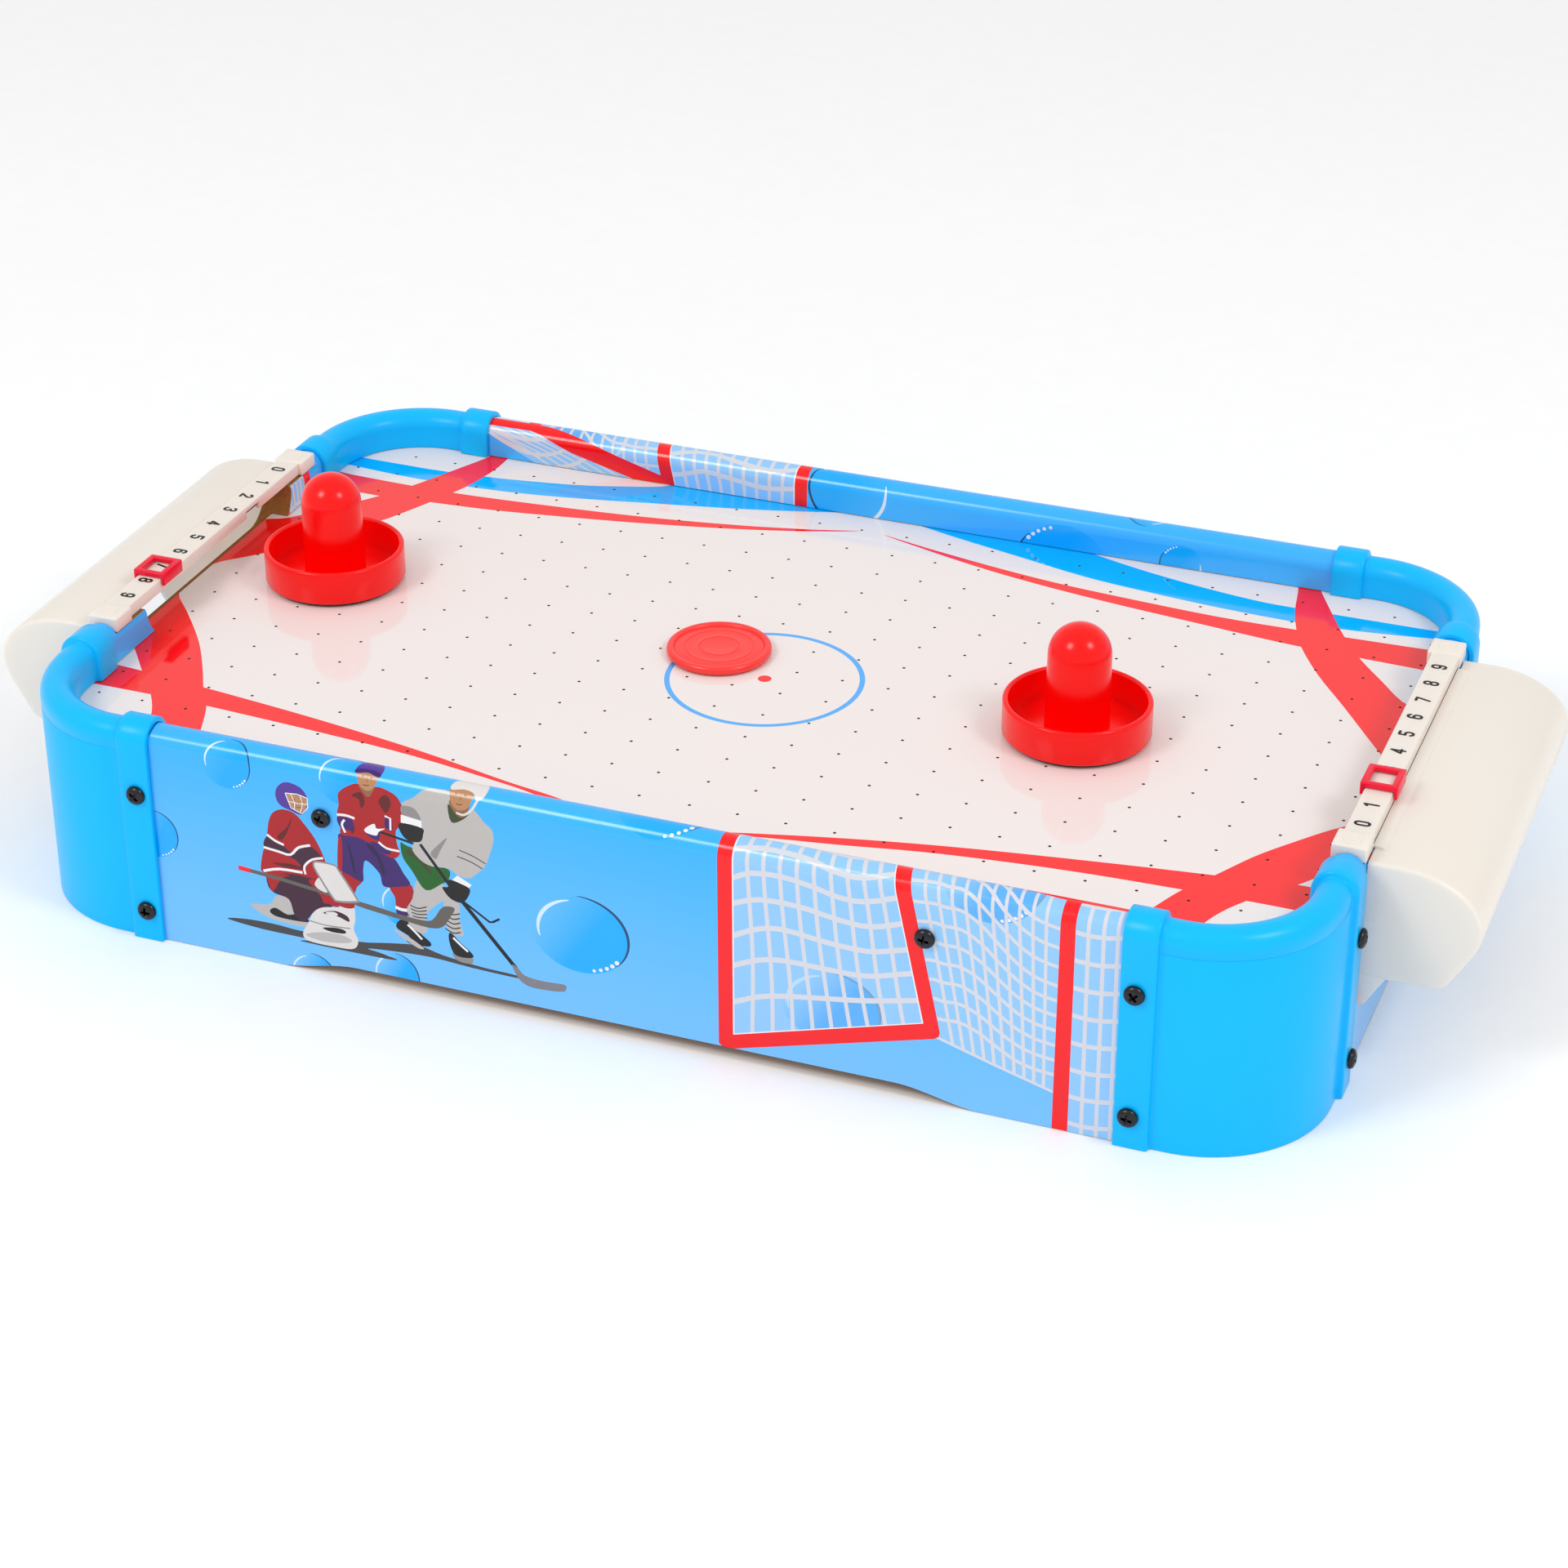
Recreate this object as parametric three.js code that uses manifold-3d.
// Tabletop air hockey table: four film-wrapped fibreboard panels joined by moulded
// corners around a drilled playing board, with a battery fan unit under it, a goal
// box and a score rail at each end, two pushers and a puck.
// Millimetres, +Z up, origin on the ground at the middle of the frame, +X along it.
import * as THREE from 'three';
import { mergeVertices } from 'three/addons/utils/BufferGeometryUtils.js';
import Module from 'manifold-3d';

const wasm = await Module();
wasm.setup();

// ---- driving dimensions ----
const GAP = 0.3; // clearance between touching pieces
const HALF_LENGTH = 254; // outer faces of the end panels
const HALF_WIDTH = 156; // outer faces of the long panels
const PANEL = 13; // panel thickness
const RIM_Z = 90; // top of the rounded rims
const RIM_RADIUS = PANEL / 2;
const RIM_CENTRE_Z = RIM_Z - RIM_RADIUS;

const BOARD_TOP = 74.5;
const BOARD_THICK = 3.4;
const BOARD_BITE = 7.5; // how far the board reaches into the panel grooves
const FLOOR_TOP = 27; // top of the hardboard that closes the air chamber
const FLOOR_THICK = 3;
const FLOOR_BITE = 5.5;

const CORNER_RADIUS = 48;
const CORNER_WALL = 2.2;
const CORNER_STRAIGHT = 5.6; // plain stretch between the bend and the sleeve
const SLEEVE_BAND = 12.8;
const SLEEVE_STEP = 2.4; // closed end of the sleeve, where the panel stops
const SLEEVE_RISE = 2.2; // the sleeve stands this far outside the panel
const SKIRT_FOOT = BOARD_TOP + GAP;

const ARCH_RISE = 5.1; // raised middle of a long panel's lower edge
const ARCH_FLAT = 106;
const ARCH_END = 139;

const GOAL_HALF = 61.5;
const GOAL_FILLET = 15;
const RAIL_HALF = 84;
const RAIL_SEAT_Z = 86.3;
const RAIL_TOP = 92;
const RAIL_BLOCK = 12;
const RAIL_BEAM = [242.9, 253.3];
const CLIP_LEG = 1.4;

const BOX_HALF = 82;
const BOX_WALL = 2.2;
const BOX_TOP = 86.3;
const BOX_BOTTOM = 39.5;
const LUG_FOOT = 28; // lower tip of the tabs at the box's two ends
const BOX_REACH = 42.5; // from the end panel to the box's outermost line

const SCREW_HOLE = 2;
const SCREW_HIGH = 63.4;
const SCREW_LOW = 13.1;
const BRACE_X = 116.8;
const BRACE_SCREW_Z = 68;

const PUSHER_RADIUS = 28.4;
const PUSHER_FOOT = 76;
const PUSHER_TOP = 121.2;
const KNOB_RADIUS = 12.4;
const PUCK_RADIUS = 20.7;

// ---- finishes ----
const finish = (color, roughness, metalness = 0) =>
  new THREE.MeshStandardMaterial({ color, roughness, metalness });

const FINISH = {
  board: finish(0xf1ebe9, 0.15),
  film: finish(0x6cbcfb, 0.2),
  corner: finish(0x10b4fb, 0.3),
  white: finish(0xfaf3ea, 0.4),
  goal: finish(0xe9e4da, 0.35),
  clip: finish(0xe4183c, 0.35),
  red: finish(0xf5201a, 0.25),
  felt: finish(0x3a2a22, 0.95),
  wood: finish(0xc9a878, 0.8),
  hardboard: finish(0x8a6238, 0.75),
  black: finish(0x1b1b1c, 0.45),
  screw: finish(0x141414, 0.35, 0.6),
  steel: finish(0xb9bcc0, 0.3, 0.9),
  cell: finish(0x2c6e49, 0.4, 0.3),
  copper: finish(0xc8201c, 0.5),
};

// ---- solids ----
const table = new THREE.Group();

function solid(geometry) {
  const bare = geometry.index ? geometry.toNonIndexed() : geometry.clone();
  bare.deleteAttribute('normal');
  bare.deleteAttribute('uv');
  const merged = mergeVertices(bare, 1e-4);
  return new wasm.Manifold(
    new wasm.Mesh({
      numProp: 3,
      vertProperties: merged.attributes.position.array,
      triVerts: merged.index.array,
    }),
  );
}

function geometryOf(body) {
  const mesh = body.getMesh();
  const geometry = new THREE.BufferGeometry();
  geometry.setAttribute('position', new THREE.BufferAttribute(mesh.vertProperties, 3));
  geometry.setIndex(new THREE.BufferAttribute(mesh.triVerts, 1));
  geometry.computeVertexNormals();
  return geometry;
}

function place(name, body, material, x = 0, y = 0, turn = 0) {
  const geometry = body.isBufferGeometry ? body : geometryOf(body);
  const mesh = new THREE.Mesh(geometry, material);
  mesh.name = name;
  mesh.position.set(x, y, 0);
  mesh.rotation.z = turn;
  table.add(mesh);
  return mesh;
}

const join = (bodies) => bodies.reduce((whole, body) => whole.add(body));
const cut = (body, cutters) => cutters.reduce((rest, cutter) => rest.subtract(cutter), body);

function box([x0, x1], [y0, y1], [z0, z1]) {
  const geometry = new THREE.BoxGeometry(x1 - x0, y1 - y0, z1 - z0);
  geometry.translate((x0 + x1) / 2, (y0 + y1) / 2, (z0 + z1) / 2);
  return solid(geometry);
}

// A round bar along 'x', 'y' or 'z', from one end to the other on that axis.
function bar(axis, radius, [start, end], across = [0, 0], sides = 12) {
  const geometry = new THREE.CylinderGeometry(radius, radius, end - start, sides);
  geometry.translate(0, (start + end) / 2, 0);
  if (axis === 'x') geometry.rotateZ(-Math.PI / 2).translate(0, across[0], across[1]);
  if (axis === 'y') geometry.translate(across[0], 0, across[1]);
  if (axis === 'z') geometry.rotateX(Math.PI / 2).translate(across[0], across[1], 0);
  return solid(geometry);
}

// A flat outline pulled along one axis: 'x' takes a (y, z) outline, 'y' an (x, z)
// outline and 'z' an (x, y) outline.
function pull(axis, outline, [start, end], curveSegments = 8) {
  const depth = end - start;
  const geometry = new THREE.ExtrudeGeometry(outline, { depth, bevelEnabled: false, curveSegments });
  if (axis === 'x') {
    geometry.translate(0, 0, start);
    geometry.applyMatrix4(new THREE.Matrix4().makeBasis(
      new THREE.Vector3(0, 1, 0), new THREE.Vector3(0, 0, 1), new THREE.Vector3(1, 0, 0)));
  }
  if (axis === 'y') geometry.translate(0, 0, -end).rotateX(Math.PI / 2);
  if (axis === 'z') geometry.translate(0, 0, start);
  return solid(geometry);
}

// A closed (radius, z) profile turned about the Z axis.
function turned(points, sides) {
  const geometry = new THREE.LatheGeometry(points, sides);
  geometry.rotateX(Math.PI / 2);
  return geometry;
}

function roundedRectangle(halfX, halfY, radius) {
  const [x, y] = [halfX - radius, halfY - radius];
  const outline = new THREE.Shape();
  outline.absarc(x, y, radius, 0, Math.PI / 2);
  outline.absarc(-x, y, radius, Math.PI / 2, Math.PI);
  outline.absarc(-x, -y, radius, Math.PI, 1.5 * Math.PI);
  outline.absarc(x, -y, radius, 1.5 * Math.PI, 2 * Math.PI);
  return outline;
}

// ---- frame panels ----
// Section of a panel: its outer face is at across = 0 and its inner face at -PANEL.
function panelSection(topZ = RIM_Z) {
  const inner = -PANEL;
  const boardGroove = inner + BOARD_BITE + GAP;
  const floorGroove = inner + FLOOR_BITE + GAP;
  const outline = new THREE.Shape();
  outline.moveTo(0, 0);
  outline.lineTo(0, topZ - RIM_RADIUS);
  outline.absarc(-RIM_RADIUS, topZ - RIM_RADIUS, RIM_RADIUS, 0, Math.PI);
  outline.lineTo(inner, BOARD_TOP + GAP);
  outline.lineTo(boardGroove, BOARD_TOP + GAP);
  outline.lineTo(boardGroove, BOARD_TOP - BOARD_THICK - GAP);
  outline.lineTo(inner, BOARD_TOP - BOARD_THICK - GAP);
  outline.lineTo(inner, FLOOR_TOP + GAP);
  outline.lineTo(floorGroove, FLOOR_TOP + GAP);
  outline.lineTo(floorGroove, FLOOR_TOP - FLOOR_THICK - GAP);
  outline.lineTo(inner, FLOOR_TOP - FLOOR_THICK - GAP);
  outline.lineTo(inner, 0);
  return outline;
}

const panelReach = (half) => half - CORNER_RADIUS - CORNER_STRAIGHT - SLEEVE_STEP - GAP;
const sleeveEnd = (half) => half - CORNER_RADIUS - CORNER_STRAIGHT - SLEEVE_BAND;
const screwPlace = (half) => sleeveEnd(half) + 5.4;

// The shallow arch under a long panel, which also lets air in to the fan.
function archCutter() {
  const outline = new THREE.Shape();
  const middle = (ARCH_FLAT + ARCH_END) / 2;
  outline.moveTo(-ARCH_END, -1);
  outline.lineTo(-ARCH_END, 0);
  outline.bezierCurveTo(-middle, 0, -middle, ARCH_RISE, -ARCH_FLAT, ARCH_RISE);
  outline.lineTo(ARCH_FLAT, ARCH_RISE);
  outline.bezierCurveTo(middle, ARCH_RISE, middle, 0, ARCH_END, 0);
  outline.lineTo(ARCH_END, -1);
  return pull('y', outline, [HALF_WIDTH - PANEL - 1, HALF_WIDTH + 1], 6);
}

const inDepth = (half, depth) => [half - depth, half + 1];

// The panel at +Y; the one at -Y is the same piece turned half a turn.
function longPanel() {
  const half = panelReach(HALF_LENGTH);
  const screwX = screwPlace(HALF_LENGTH);
  let body = pull('x', shifted(panelSection(), HALF_WIDTH), [-half, half]);
  body = body.subtract(archCutter());
  for (const side of [-1, 1]) {
    const depth = inDepth(HALF_WIDTH, 9.6);
    body = body.subtract(bar('y', SCREW_HOLE, depth, [side * screwX, SCREW_HIGH], 8));
    body = body.subtract(bar('y', SCREW_HOLE, depth, [side * screwX, SCREW_LOW], 8));
    const through = inDepth(HALF_WIDTH, PANEL + 1);
    body = body.subtract(bar('y', SCREW_HOLE, through, [side * BRACE_X, BRACE_SCREW_Z], 8));
  }
  return body;
}

function shifted(outline, distance) {
  const points = outline.getPoints(5).map((p) => new THREE.Vector2(p.x + distance, p.y));
  return new THREE.Shape(points);
}

// The goal mouth: open at the top, with rounded lower corners down to the groove.
function goalCutter() {
  const sill = BOARD_TOP - BOARD_THICK - GAP;
  const inner = GOAL_HALF - GOAL_FILLET;
  const outline = new THREE.Shape();
  outline.moveTo(-RAIL_HALF - GAP, RIM_Z + 1);
  outline.lineTo(-RAIL_HALF - GAP, RAIL_SEAT_Z);
  outline.lineTo(-GOAL_HALF, RAIL_SEAT_Z);
  outline.absarc(-inner, sill + GOAL_FILLET, GOAL_FILLET, Math.PI, 1.5 * Math.PI);
  outline.absarc(inner, sill + GOAL_FILLET, GOAL_FILLET, 1.5 * Math.PI, 2 * Math.PI);
  outline.lineTo(GOAL_HALF, RAIL_SEAT_Z);
  outline.lineTo(RAIL_HALF + GAP, RAIL_SEAT_Z);
  outline.lineTo(RAIL_HALF + GAP, RIM_Z + 1);
  return pull('x', outline, [HALF_LENGTH - PANEL - 1, HALF_LENGTH + 1], 6);
}

// The panel at +X; the one at -X is the same piece turned half a turn.
function endPanel() {
  const half = panelReach(HALF_WIDTH);
  const screwY = screwPlace(HALF_WIDTH);
  const section = shifted(panelSection(), HALF_LENGTH);
  let body = pull('y', section, [-half, half]).subtract(goalCutter());
  for (const y of [-screwY, screwY]) {
    const depth = inDepth(HALF_LENGTH, 9.6);
    body = body.subtract(bar('x', SCREW_HOLE, depth, [y, SCREW_HIGH], 8));
    body = body.subtract(bar('x', SCREW_HOLE, depth, [y, SCREW_LOW], 8));
  }
  return body;
}

// ---- moulded corners ----
// An upside-down channel with a round top. across is measured from the panel's
// outer face; the outer leg stands on the ground and the inner one on the board.
function channelSection(outside, wall) {
  const radius = outside + RIM_RADIUS;
  const inside = -PANEL - outside;
  const outline = new THREE.Shape();
  outline.moveTo(outside, 0);
  outline.lineTo(outside, RIM_CENTRE_Z);
  outline.absarc(-RIM_RADIUS, RIM_CENTRE_Z, radius, 0, Math.PI);
  outline.lineTo(inside, SKIRT_FOOT);
  outline.lineTo(inside + wall, SKIRT_FOOT);
  outline.lineTo(inside + wall, RIM_CENTRE_Z);
  outline.absarc(-RIM_RADIUS, RIM_CENTRE_Z, radius - wall, Math.PI, 0, true);
  outline.lineTo(outside - wall, 0);
  return shifted(outline, CORNER_RADIUS);
}

// Both arms of a corner, each the same section between two distances from the bend.
function arms(section, near, far) {
  return [pull('x', section, [-far, -near]), pull('y', section, [-far, -near])];
}

// The corner at +X +Y about the centre of its bend. It is the same both ways
// about its diagonal, so the other three are quarter turns of it.
function corner() {
  const plain = channelSection(0, CORNER_WALL);
  const stepAt = CORNER_STRAIGHT;
  const sleeveAt = CORNER_STRAIGHT + SLEEVE_STEP;
  const end = CORNER_STRAIGHT + SLEEVE_BAND;
  const ring = plain.getPoints();
  const bend = solid(turned([...ring, ring[0]], 40))
    .intersect(box([0, 100], [0, 100], [-1, 100]));
  let body = join([
    bend,
    ...arms(plain, -0.5, stepAt + 1),
    ...arms(channelSection(SLEEVE_RISE, CORNER_WALL + SLEEVE_RISE), stepAt, sleeveAt),
    ...arms(channelSection(SLEEVE_RISE, SLEEVE_RISE - GAP), sleeveAt - 0.5, end),
  ]);
  const along = screwPlace(HALF_LENGTH) - HALF_LENGTH + CORNER_RADIUS;
  for (const z of [SCREW_LOW, SCREW_HIGH]) {
    const wall = [CORNER_RADIUS - 1, CORNER_RADIUS + 4];
    body = body.subtract(bar('y', SCREW_HOLE, wall, [along, z], 12));
    body = body.subtract(bar('x', SCREW_HOLE, wall, [along, z], 12));
  }
  return geometryOf(body);
}

// ---- screws ----
// A pan-head screw along -Y into a face: the head's seat is at y = seat.
function screwGeometry(length) {
  const [headRadius, headHeight, shank] = [3.8, 2.3, 1.6];
  const profile = [
    [0, -length], [shank, -length + 2], [shank, 0], [headRadius, 0],
    [headRadius, headHeight * 0.45], [headRadius * 0.78, headHeight * 0.86], [0, headHeight],
  ].map(([r, z]) => new THREE.Vector2(r, z));
  return turned(profile, 10);
}

function placeScrew(name, length, direction, x, y, z) {
  const mesh = new THREE.Mesh(screwGeometry(length), FINISH.screw);
  mesh.name = name;
  mesh.position.set(x, y, z);
  mesh.quaternion.setFromUnitVectors(new THREE.Vector3(0, 0, 1), direction);
  table.add(mesh);
}

// ---- score rails ----
// The rail at +X; the one at -X is the same piece turned half a turn.
function scoreRail() {
  const [inner, outer] = RAIL_BEAM;
  const foot = RAIL_SEAT_Z + GAP;
  const wall = 1.8;
  const beamHalf = RAIL_HALF - RAIL_BLOCK;
  let body = box([inner, outer], [-RAIL_HALF, RAIL_HALF], [foot, RAIL_TOP]);
  body = body.subtract(box([inner + wall, outer - wall], [-beamHalf, beamHalf], [foot - 1, RAIL_TOP - 2.2]));
  body = body.subtract(box([inner - 1, inner + 2.5], [-37, -26], [foot - 1, foot + 3]));
  const blockX = [HALF_LENGTH - PANEL + 0.1, HALF_LENGTH];
  for (const side of [-1, 1]) {
    const y = [side * beamHalf, side * RAIL_HALF].sort((a, b) => a - b);
    const middle = [(inner + outer) / 2 - 0.5, side * (RAIL_HALF - RAIL_BLOCK / 2)];
    body = body.add(box(blockX, y, [foot, RAIL_TOP + 0.5]));
    body = body.add(bar('z', 3.4, [RAIL_TOP, RAIL_TOP + 0.8], middle, 16));
  }
  return body;
}

// A square window frame that straddles the rail, with a leg down each side.
function scoreClip() {
  const inner = RAIL_BEAM[0] - GAP;
  const [top, half, lowest] = [2.2, 7.5, 89.2];
  const plateZ = RAIL_TOP + GAP;
  const x0 = inner - CLIP_LEG;
  const x1 = RAIL_BEAM[1] + GAP + CLIP_LEG;
  const body = join([
    box([x0, x1], [-half, half], [plateZ, plateZ + top]),
    box([x0, inner], [-half, half], [lowest, plateZ + 1]),
    box([x1 - CLIP_LEG, x1], [-half, half], [lowest, plateZ + 1]),
  ]);
  return body.subtract(box([x0 + 2.6, x1 - 2.6], [-half + 2.2, half - 2.2], [plateZ - 1, plateZ + 5]));
}

// ---- goal boxes ----
// Outline of the box from the end panel outwards, grown or shrunk by inset.
function goalOutline(inset, start) {
  const outermost = HALF_LENGTH + BOX_REACH - inset;
  const crown = 31;
  const waist = 62;
  const [topZ, bottomZ] = [BOX_TOP - inset, BOX_BOTTOM + inset];
  const lip = 12 - inset * 0.45;
  const outline = new THREE.Shape();
  outline.moveTo(start, bottomZ);
  outline.lineTo(outermost - lip - 3.5, bottomZ);
  outline.quadraticCurveTo(outermost - lip, bottomZ, outermost - lip + 2, bottomZ + 3.5);
  outline.lineTo(outermost - 2.2, waist - 5.5);
  outline.quadraticCurveTo(outermost, waist - 1, outermost, waist + 3);
  outline.absellipse(
    outermost - crown + inset, waist + 3, crown - inset, topZ - waist - 3, 0, Math.PI / 2);
  outline.lineTo(start, topZ);
  return outline;
}

// The box at +X; the one at -X is the same piece turned half a turn.
function goalBox() {
  const back = HALF_LENGTH + GAP;
  const flange = 2.5;
  const inner = BOX_HALF - BOX_WALL;
  const shell = pull('y', goalOutline(0, back), [-BOX_HALF, BOX_HALF], 8);
  const plate = box([back, back + flange], [-BOX_HALF - 0.8, BOX_HALF + 0.8], [BOX_BOTTOM, BOX_TOP]);
  const lugs = [-BOX_HALF - 0.8, BOX_HALF - 2.4].map((y) => pull('y', lugOutline(back), [y, y + 3.2]));
  const ridgeHalf = RAIL_HALF - 12.5;
  const ridge = pull('y', ridgeOutline(back), [-ridgeHalf, ridgeHalf]);
  const hollow = pull('y', goalOutline(BOX_WALL, back - 5), [-inner, inner], 8);
  const outermost = HALF_LENGTH + BOX_REACH;
  const slot = box([outermost - 24, outermost + 5], [-26, 26], [BOX_BOTTOM - 5, 57]);
  return join([cut(join([shell, plate, ...lugs]), [hollow, slot]), ridge]);
}

// A low ridge on the box's top that closes the joint under the score rail.
function ridgeOutline(back) {
  const edge = RAIL_BEAM[1] + GAP;
  const outline = new THREE.Shape();
  outline.moveTo(back, BOX_TOP - 1);
  outline.lineTo(back + 4, BOX_TOP - 1);
  outline.lineTo(back + 4, BOX_TOP + 0.1);
  outline.lineTo(back + 2, BOX_TOP + 1);
  outline.lineTo(edge, BOX_TOP + 1);
  outline.lineTo(edge, RAIL_SEAT_Z + GAP);
  outline.lineTo(back, RAIL_SEAT_Z + GAP);
  return outline;
}

// A tapered tab that carries the box's fixing flange below its floor.
function lugOutline(back) {
  const outline = new THREE.Shape();
  outline.moveTo(back, LUG_FOOT);
  outline.lineTo(back + 2.6, LUG_FOOT);
  outline.lineTo(back + 10, BOX_BOTTOM + 1);
  outline.lineTo(back, BOX_BOTTOM + 1);
  return outline;
}

// ---- pushers and puck ----
function arcPoints(centreR, centreZ, radius, from, to, count) {
  return Array.from({ length: count + 1 }, (_, i) => {
    const angle = from + ((to - from) * i) / count;
    return new THREE.Vector2(
      Math.max(0, centreR + radius * Math.cos(angle)), centreZ + radius * Math.sin(angle));
  });
}

// A ring with a floor. The knob stands in its middle.
function pusherTray() {
  const at = (r, z) => new THREE.Vector2(r, PUSHER_FOOT + z);
  const [lipZ, floorZ, wall] = [14, 2.4, 2.2];
  const lipRadius = wall / 2;
  const inner = KNOB_RADIUS + GAP;
  return turned([
    at(inner, 0),
    at(PUSHER_RADIUS - 0.8, 0),
    at(PUSHER_RADIUS, 0.8),
    ...arcPoints(PUSHER_RADIUS - lipRadius, PUSHER_FOOT + lipZ - lipRadius, lipRadius, 0, Math.PI, 3),
    at(PUSHER_RADIUS - wall - 0.3, floorZ + 1.5),
    at(PUSHER_RADIUS - wall - 1.8, floorZ),
    at(inner, floorZ),
    at(inner, 0),
  ], 32);
}

// A domed knob, hollow and open below.
function pusherKnob() {
  const at = (r, z) => new THREE.Vector2(r, PUSHER_FOOT + z);
  const cavity = KNOB_RADIUS - 2.2;
  return turned([
    at(0, 34),
    ...arcPoints(0, PUSHER_FOOT + 34 - cavity * 0.6, cavity, Math.PI / 4, 0, 2),
    at(cavity, 0),
    at(KNOB_RADIUS, 0),
    ...arcPoints(0, PUSHER_TOP - KNOB_RADIUS, KNOB_RADIUS, 0, Math.PI / 2, 5),
  ], 32);
}

function feltRing() {
  const [z0, z1] = [BOARD_TOP + GAP, PUSHER_FOOT - GAP];
  const outer = PUSHER_RADIUS - 2;
  const ring = [[10, z0], [outer, z0], [outer, z1], [10, z1], [10, z0]];
  return turned(ring.map(([r, z]) => new THREE.Vector2(r, z)), 28);
}

// A thin disc with a raised rounded edge and two shallow rings on top.
function puck() {
  const base = BOARD_TOP + GAP;
  const at = ([r, z]) => new THREE.Vector2(r, base + z);
  const top = 3.6;
  const dish = 2.8;
  return turned([
    [0, 0], [PUCK_RADIUS - 1.2, 0], [PUCK_RADIUS, 1.1], [PUCK_RADIUS, 2.2],
    [PUCK_RADIUS - 1.1, top], [PUCK_RADIUS - 2.4, top], [PUCK_RADIUS - 3.2, dish],
    [14.3, dish], [13.9, dish - 0.5], [13.3, dish], [8.2, dish], [7.8, dish - 0.5], [7.2, dish],
    [0, dish],
  ].map(at), 32);
}

// ---- air chamber floor, fan unit and battery unit ----
const FAN_RADIUS = 35.5;
const FAN_FOOT = 6;
const UNIT_TOP = FLOOR_TOP - FLOOR_THICK - GAP;
const BAY_X = [58, 124];
const CELL_X = [60, 112.5];
const CELL_RADIUS = 7.1;
const CELL_PITCH = 15.1;

function airChamberFloor() {
  const halfX = HALF_LENGTH - PANEL + FLOOR_BITE;
  const halfY = HALF_WIDTH - PANEL + FLOOR_BITE;
  const sheet = pull('z', roundedRectangle(halfX, halfY, 40.5), [FLOOR_TOP - FLOOR_THICK, FLOOR_TOP], 6);
  return cut(sheet, [
    bar('z', FAN_RADIUS - 1.5, [0, 50], [0, 0], 32),
    bar('z', 4, [0, 50], [66, 0], 12),
  ]);
}

function playingBoard() {
  const halfX = HALF_LENGTH - PANEL + BOARD_BITE;
  const halfY = HALF_WIDTH - PANEL + BOARD_BITE;
  return pull('z', roundedRectangle(halfX, halfY, 42.5), [BOARD_TOP - BOARD_THICK, BOARD_TOP], 8);
}

function brace() {
  const half = HALF_WIDTH - PANEL - GAP;
  const top = BOARD_TOP - BOARD_THICK - GAP - 0.1;
  const slat = box([-11, 11], [-half, half], [top - 8, top]);
  return cut(slat, [-1, 1].map((side) => {
    const span = [side * (half - 9), side * (half + 1)].sort((a, b) => a - b);
    return bar('y', SCREW_HOLE, span, [0, BRACE_SCREW_Z], 8);
  }));
}

// A short duct with a mounting flange and three arms that hold the motor.
function fanHousing() {
  const wall = 2.5;
  const tube = (outer, inner, z) =>
    bar('z', outer, z, [0, 0], 28).subtract(bar('z', inner, [z[0] - 1, z[1] + 1], [0, 0], 28));
  const spokes = [0, 1, 2].map((i) => {
    const geometry = new THREE.BoxGeometry(FAN_RADIUS - 12, 4, 2.5);
    geometry.translate((FAN_RADIUS + 14.5) / 2, 0, UNIT_TOP - 1.6);
    return solid(geometry.rotateZ((i * 2 * Math.PI) / 3 + 0.6));
  });
  return join([
    tube(FAN_RADIUS + wall, FAN_RADIUS, [FAN_FOOT, UNIT_TOP]),
    tube(FAN_RADIUS + 10, FAN_RADIUS + 1, [UNIT_TOP - 2, UNIT_TOP]),
    tube(15, 12.6, [UNIT_TOP - 6, UNIT_TOP]),
    ...spokes,
  ]);
}

function fanMotor() {
  const bottom = UNIT_TOP - 6;
  const profile = [
    [0, FAN_FOOT + 3], [1.35, FAN_FOOT + 3], [1.35, bottom - 0.8], [3.5, bottom - 0.8],
    [3.5, bottom], [12.2, bottom], [12.2, bottom + 20], [0, bottom + 20],
  ].map(([r, z]) => new THREE.Vector2(r, z));
  return turned(profile, 24);
}

function fanImpeller() {
  const [low, high] = [FAN_FOOT + 2.5, FAN_FOOT + 10];
  const blades = Array.from({ length: 7 }, (_, i) => {
    const geometry = new THREE.BoxGeometry(25, 11, 1.5);
    geometry.rotateX(Math.PI / 5).translate(20.5, 0, (low + high) / 2);
    return solid(geometry.rotateZ((i * 2 * Math.PI) / 7));
  });
  const hub = bar('z', 9, [low, high], [0, 0], 21);
  return join([hub, ...blades]).subtract(bar('z', 1.43, [0, 40], [0, 0], 24));
}

// Round cover with arc slots between plain ribs.
function intakeGrille() {
  const z = [FAN_FOOT - GAP - 1.8, FAN_FOOT - GAP];
  const ribs = [0, 1, 2].map((i) => {
    const geometry = new THREE.BoxGeometry(2 * FAN_RADIUS, 3, 10);
    return solid(geometry.translate(0, 0, FAN_FOOT).rotateZ((i * Math.PI) / 3));
  });
  const slots = [13, 24].map((inner) =>
    bar('z', inner + 6, [0, 10], [0, 0], 24).subtract(bar('z', inner, [-1, 11], [0, 0], 24)));
  return bar('z', FAN_RADIUS + 2.5, z, [0, 0], 28).subtract(cut(join(slots), ribs));
}

function batteryBox() {
  const base = FAN_FOOT - 0.1;
  return cut(box(BAY_X, [-32, 32], [base, UNIT_TOP]), [
    box(CELL_X, [-30.2, 30.2], [base - 1, UNIT_TOP - 1.7]),
    box([114.3, 122.2], [-10, 10], [base + 1.6, UNIT_TOP - 1.7]),
    box([116.2, 120.3], [-5, 5], [base - 1, base + 3]),
  ]);
}

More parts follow.
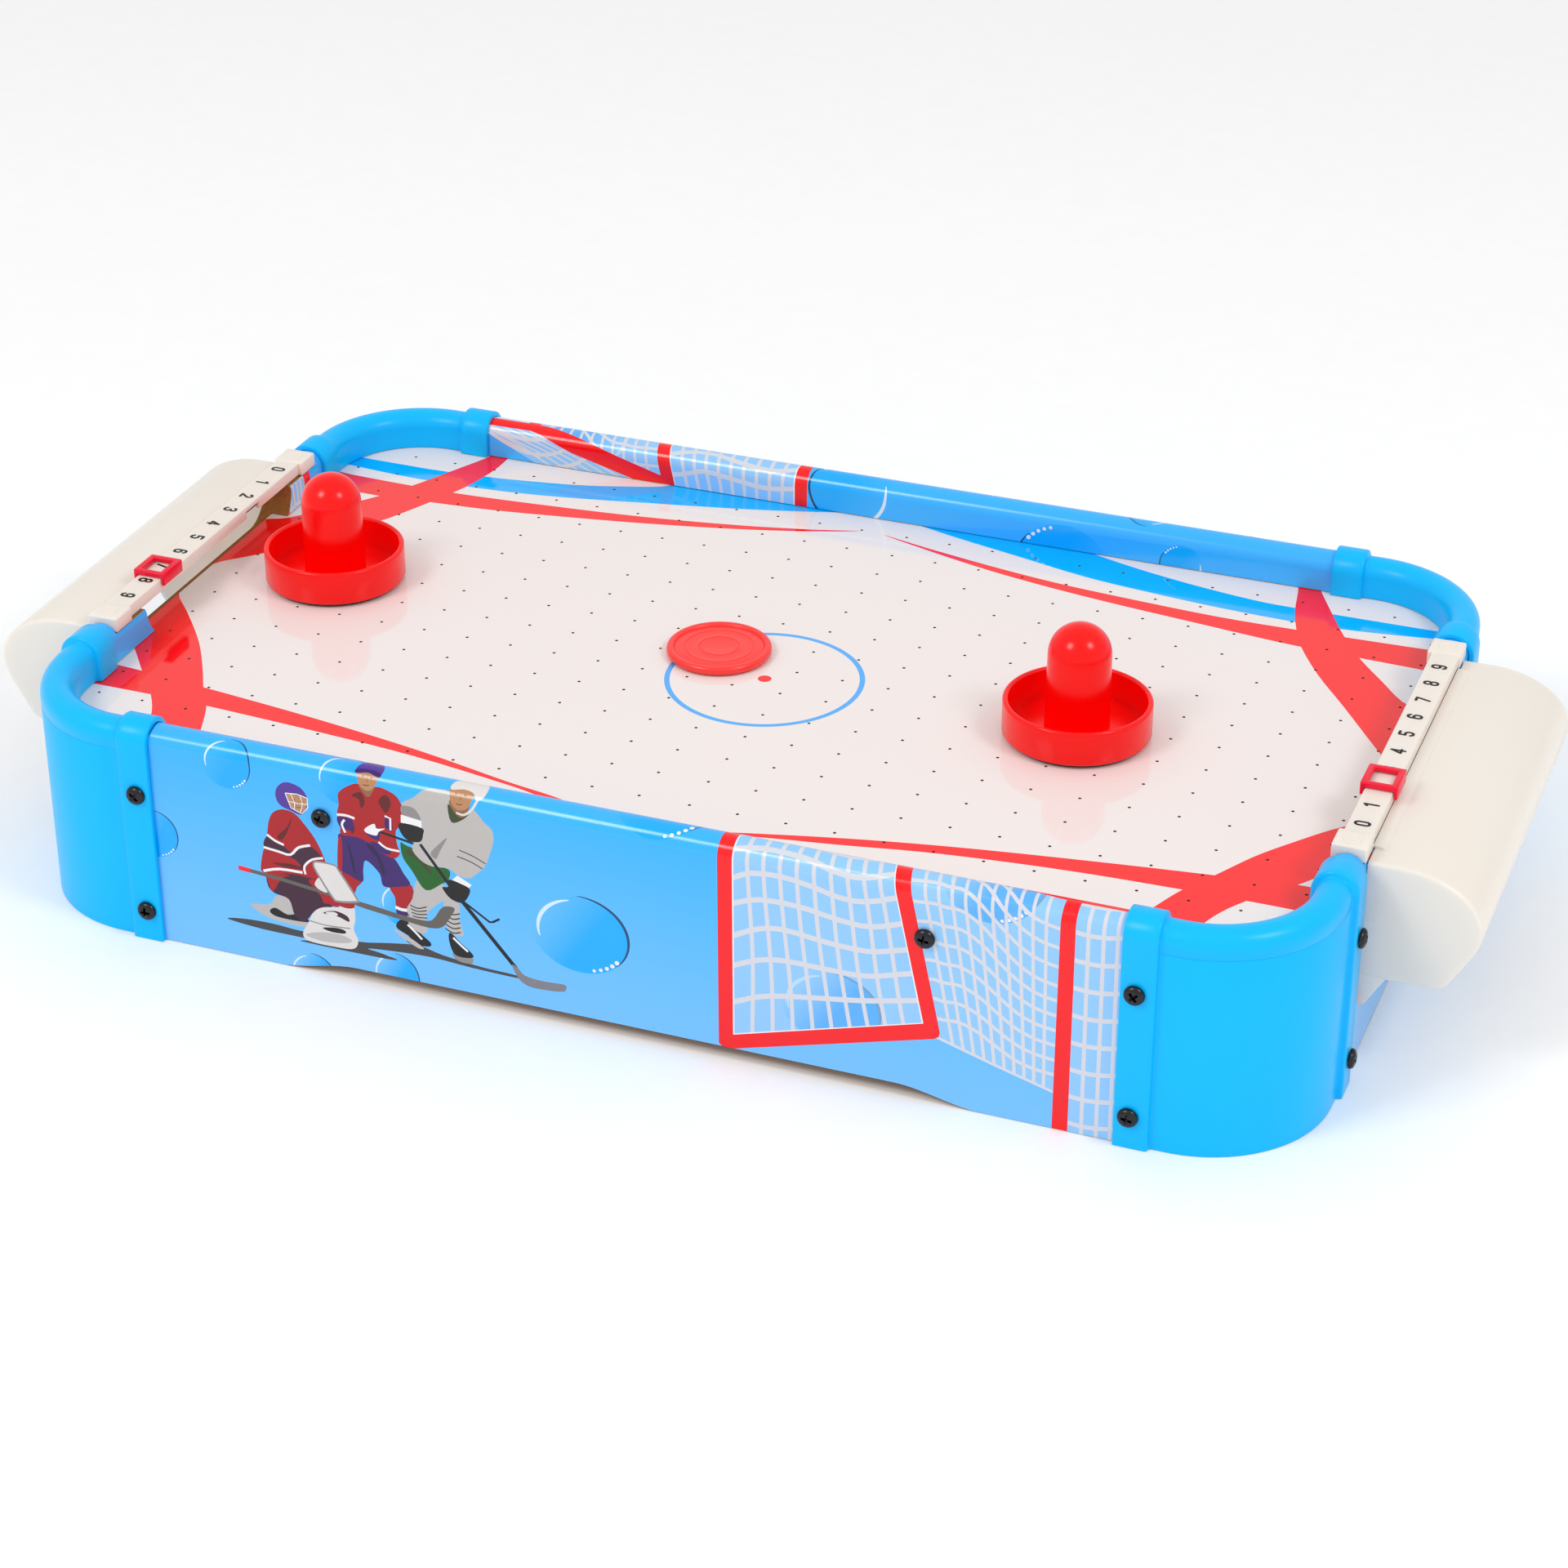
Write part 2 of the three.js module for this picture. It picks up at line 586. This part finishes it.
function batteryDoor() {
  const top = FAN_FOOT - 0.4;
  const plate = box([BAY_X[0] + 0.5, 113.5], [-31.5, 31.5], [top - 1.6, top]);
  const grips = [0, 1, 2].map((i) =>
    box([76, 96], [-27 + 3 * i, -25.6 + 3 * i], [top - 2.2, top - 1.2]));
  return join([plate, ...grips]);
}

function batteryCell() {
  const start = CELL_X[0] + 1;
  const body = bar('x', CELL_RADIUS, [start, start + 48.5], [0, 0], 16);
  return body.add(bar('x', 2.6, [start + 48, start + 50.2], [0, 0], 12));
}

function switchSlider() {
  const base = FAN_FOOT - 0.1 + 1.6 + GAP;
  return join([
    box([114.8, 121.7], [-6.6, 1.4], [base, base + 2.4]),
    box([116.7, 119.8], [-4.5, -0.6], [base - 3.6, base + 1]),
  ]);
}

// An insulated lead from the battery box up through the floor to the motor.
function lead(side) {
  const path = new THREE.CatmullRomCurve3([
    [66, 1.6 * side, UNIT_TOP + GAP], [65.6, 1.6 * side, 30], [58, 2.2 * side, 34],
    [40, 4 * side, 31], [24, 3.4 * side, 32], [12.8, 3 * side, 33.5],
  ].map((p) => new THREE.Vector3(...p)));
  const outline = new THREE.Shape().absarc(0, 0, 0.8, 0, 2 * Math.PI);
  const tube = new THREE.ExtrudeGeometry(outline, { steps: 16, curveSegments: 3, extrudePath: path });
  return solid(tube);
}

// ---- assembly ----
const corners = [
  ['back_right', 1, 1, 0], ['back_left', -1, 1, 1], ['front_left', -1, -1, 2], ['front_right', 1, -1, 3],
];

function addFrame() {
  place('back_panel', longPanel(), FINISH.film);
  place('front_panel', longPanel(), FINISH.film, 0, 0, Math.PI);
  place('right_end_panel', endPanel(), FINISH.film);
  place('left_end_panel', endPanel(), FINISH.film, 0, 0, Math.PI);
  place('playing_board', playingBoard(), FINISH.board);
  place('air_chamber_floor', airChamberFloor(), FINISH.hardboard);
  place('left_brace', brace(), FINISH.wood, -BRACE_X);
  place('right_brace', brace(), FINISH.wood, BRACE_X);
  const shape = corner();
  for (const [name, sx, sy, turns] of corners) {
    const x = sx * (HALF_LENGTH - CORNER_RADIUS);
    const y = sy * (HALF_WIDTH - CORNER_RADIUS);
    place(`${name}_corner`, shape, FINISH.corner, x, y, (turns * Math.PI) / 2);
  }
}

function addScrews() {
  const sleeve = SLEEVE_RISE + GAP;
  const heights = [['upper', SCREW_HIGH], ['lower', SCREW_LOW]];
  for (const [name, sx, sy] of corners) {
    for (const [level, z] of heights) {
      placeScrew(`${name}_${level}_side_screw`, 11, new THREE.Vector3(0, sy, 0),
        sx * screwPlace(HALF_LENGTH), sy * (HALF_WIDTH + sleeve), z);
      placeScrew(`${name}_${level}_end_screw`, 11, new THREE.Vector3(sx, 0, 0),
        sx * (HALF_LENGTH + sleeve), sy * screwPlace(HALF_WIDTH), z);
    }
    placeScrew(`${name}_brace_screw`, 20, new THREE.Vector3(0, sy, 0),
      sx * BRACE_X, sy * (HALF_WIDTH + GAP), BRACE_SCREW_Z);
  }
}

function addEnds() {
  for (const [name, turn, clipY] of [['right', 0, -33.5], ['left', Math.PI, -38.5]]) {
    place(`${name}_score_rail`, scoreRail(), FINISH.white, 0, 0, turn);
    place(`${name}_goal_box`, goalBox(), FINISH.goal, 0, 0, turn);
    place(`${name}_score_clip`, scoreClip(), FINISH.clip, 0, clipY, turn);
  }
}

function addPlayPieces() {
  for (const [name, x, y] of [['left', -195.3, 11.6], ['right', 126.1, -8]]) {
    place(`${name}_pusher_tray`, pusherTray(), FINISH.red, x, y);
    place(`${name}_pusher_knob`, pusherKnob(), FINISH.red, x, y);
    place(`${name}_pusher_felt`, feltRing(), FINISH.felt, x, y);
  }
  place('puck', puck(), FINISH.red, -24.4, 5.5);
}

function addPowerUnit() {
  place('fan_housing', fanHousing(), FINISH.black);
  place('fan_motor', fanMotor(), FINISH.steel);
  place('fan_impeller', fanImpeller(), FINISH.white);
  place('intake_grille', intakeGrille(), FINISH.black);
  place('battery_box', batteryBox(), FINISH.black);
  place('battery_door', batteryDoor(), FINISH.black);
  place('power_switch', switchSlider(), FINISH.red);
  for (let i = 0; i < 4; i += 1) {
    const mesh = place(`battery_${i + 1}`, batteryCell(), FINISH.cell, 0, (i - 1.5) * CELL_PITCH);
    mesh.position.z = 14.3;
  }
  place('motor_lead_positive', lead(1), FINISH.copper);
  place('motor_lead_negative', lead(-1), FINISH.black);
}

addFrame();
addScrews();
addEnds();
addPlayPieces();
addPowerUnit();

export default table;
